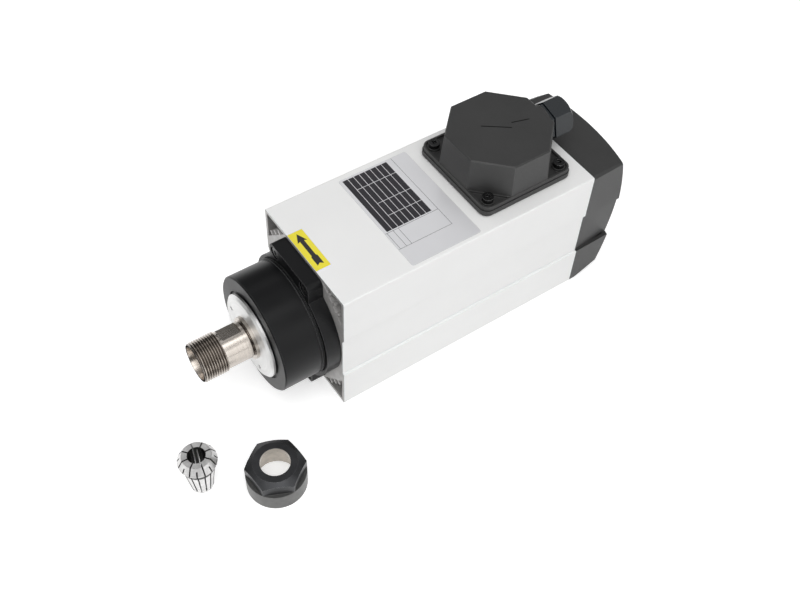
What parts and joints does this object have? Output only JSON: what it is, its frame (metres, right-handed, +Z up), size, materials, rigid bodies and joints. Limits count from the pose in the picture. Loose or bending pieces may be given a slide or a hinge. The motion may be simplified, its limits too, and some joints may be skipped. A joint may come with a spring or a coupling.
{
  "type": "motor spindle",
  "caption": "Square-bodied air-cooled electric motor spindle with a taper nose, terminal box, cable gland, loose collet and clamping nut.",
  "frame": {"origin": "middle of the body's flat underside", "axes": "+Z up, spindle axis along Y with the nose towards -Y, +X towards the loose nut and collet"},
  "size_m": [0.1248, 0.3205, 0.1254],
  "materials": {
    "body_paint": "smooth white paint on extruded aluminium",
    "black_anodised": "satin black anodised",
    "black_screw_steel": "black oxide",
    "bearing_steel": "ground and polished",
    "cage_brass": "turned",
    "plain_steel": "zinc plated",
    "lamination_steel": "stacked sheet edges",
    "copper_wire": "varnished copper wire",
    "lead_rubber": "insulated lead",
    "cast_aluminium": "as cast, machined seats",
    "turned_aluminium": "bright turned rings",
    "ground_steel": "ground, with a threaded nose",
    "collet_steel": "bright ground",
    "blackened_steel": "satin blackened",
    "cover_plastic": "fine moulded texture",
    "block_plastic": "moulded",
    "gasket_rubber": "soft black rubber",
    "gland_plastic": "smooth dark grey nylon",
    "seal_rubber": "pale grey rubber",
    "yellow_film": "printed film",
    "silver_film": "matt silver film"
  },
  "bodies": {
    "housing": {"body_extrusion": "body_paint", "front_flange": "black_anodised", "flange_screws": "black_screw_steel", "front_bearing_outer_rings": "bearing_steel", "bearing_retainer": "plain_steel", "retainer_screws": "black_screw_steel", "stator_core": "lamination_steel", "stator_windings": "copper_wire", "rear_bracket": "cast_aluminium", "rear_bracket_screws": "black_screw_steel", "rear_bearing_outer_ring": "bearing_steel", "preload_washer": "plain_steel", "rear_cover": "cover_plastic", "rear_cover_screws": "black_screw_steel", "box_gasket": "gasket_rubber", "terminal_box_base": "cover_plastic", "base_screws": "plain_steel", "lid_gasket": "gasket_rubber", "terminal_box_lid": "cover_plastic", "lid_screws": "black_screw_steel", "terminal_block": "block_plastic", "terminal_studs": "cage_brass", "terminal_nuts": "cage_brass", "earth_screw": "cage_brass", "winding_leads": "lead_rubber", "gland_body": "gland_plastic", "gland_locknut": "gland_plastic", "gland_seal": "seal_rubber", "arrow_label": "yellow_film", "blank_plate": "silver_film"},
    "spindle": {"spindle_shaft": "ground_steel", "nose_ring": "turned_aluminium", "front_bearing_inner_rings": "bearing_steel", "rear_bearing_inner_ring": "bearing_steel", "rotor_core": "lamination_steel", "rotor_end_rings": "cast_aluminium", "cooling_fan": "cover_plastic", "fan_clip": "plain_steel"},
    "ball_sets": {"front_bearing_balls": "bearing_steel", "front_bearing_cages": "cage_brass", "rear_bearing_balls": "bearing_steel", "rear_bearing_cage": "cage_brass"},
    "gland_nut": {"gland_nut": "gland_plastic"},
    "collet": {"collet": "collet_steel"},
    "clamping_nut": {"clamping_nut": "blackened_steel"}
  },
  "joints": [
    {"name": "spindle_spin", "type": "hinge", "parent": "housing", "child": "spindle", "pos_m": [0, 0, 0.048], "axis": [0, 1, 0], "continuous": true},
    {"name": "ball_orbit", "type": "hinge", "parent": "housing", "child": "ball_sets", "pos_m": [0, 0, 0.048], "axis": [0, 1, 0], "continuous": true},
    {"name": "gland_nut_turn", "type": "hinge", "parent": "housing", "child": "gland_nut", "pos_m": [0, 0, 0.113], "axis": [0, 1, 0], "range_deg": [-90, 0]},
    {"name": "collet_lift", "type": "slide", "parent": "housing", "child": "collet", "axis": [0, 0, 1], "range_m": [0, 0.08]},
    {"name": "nut_lift", "type": "slide", "parent": "housing", "child": "clamping_nut", "axis": [0, 0, 1], "range_m": [0, 0.08]}
  ],
  "couplings": [
    {"joint": "ball_orbit", "follows": "spindle_spin", "ratio": 0.4189}
  ]
}
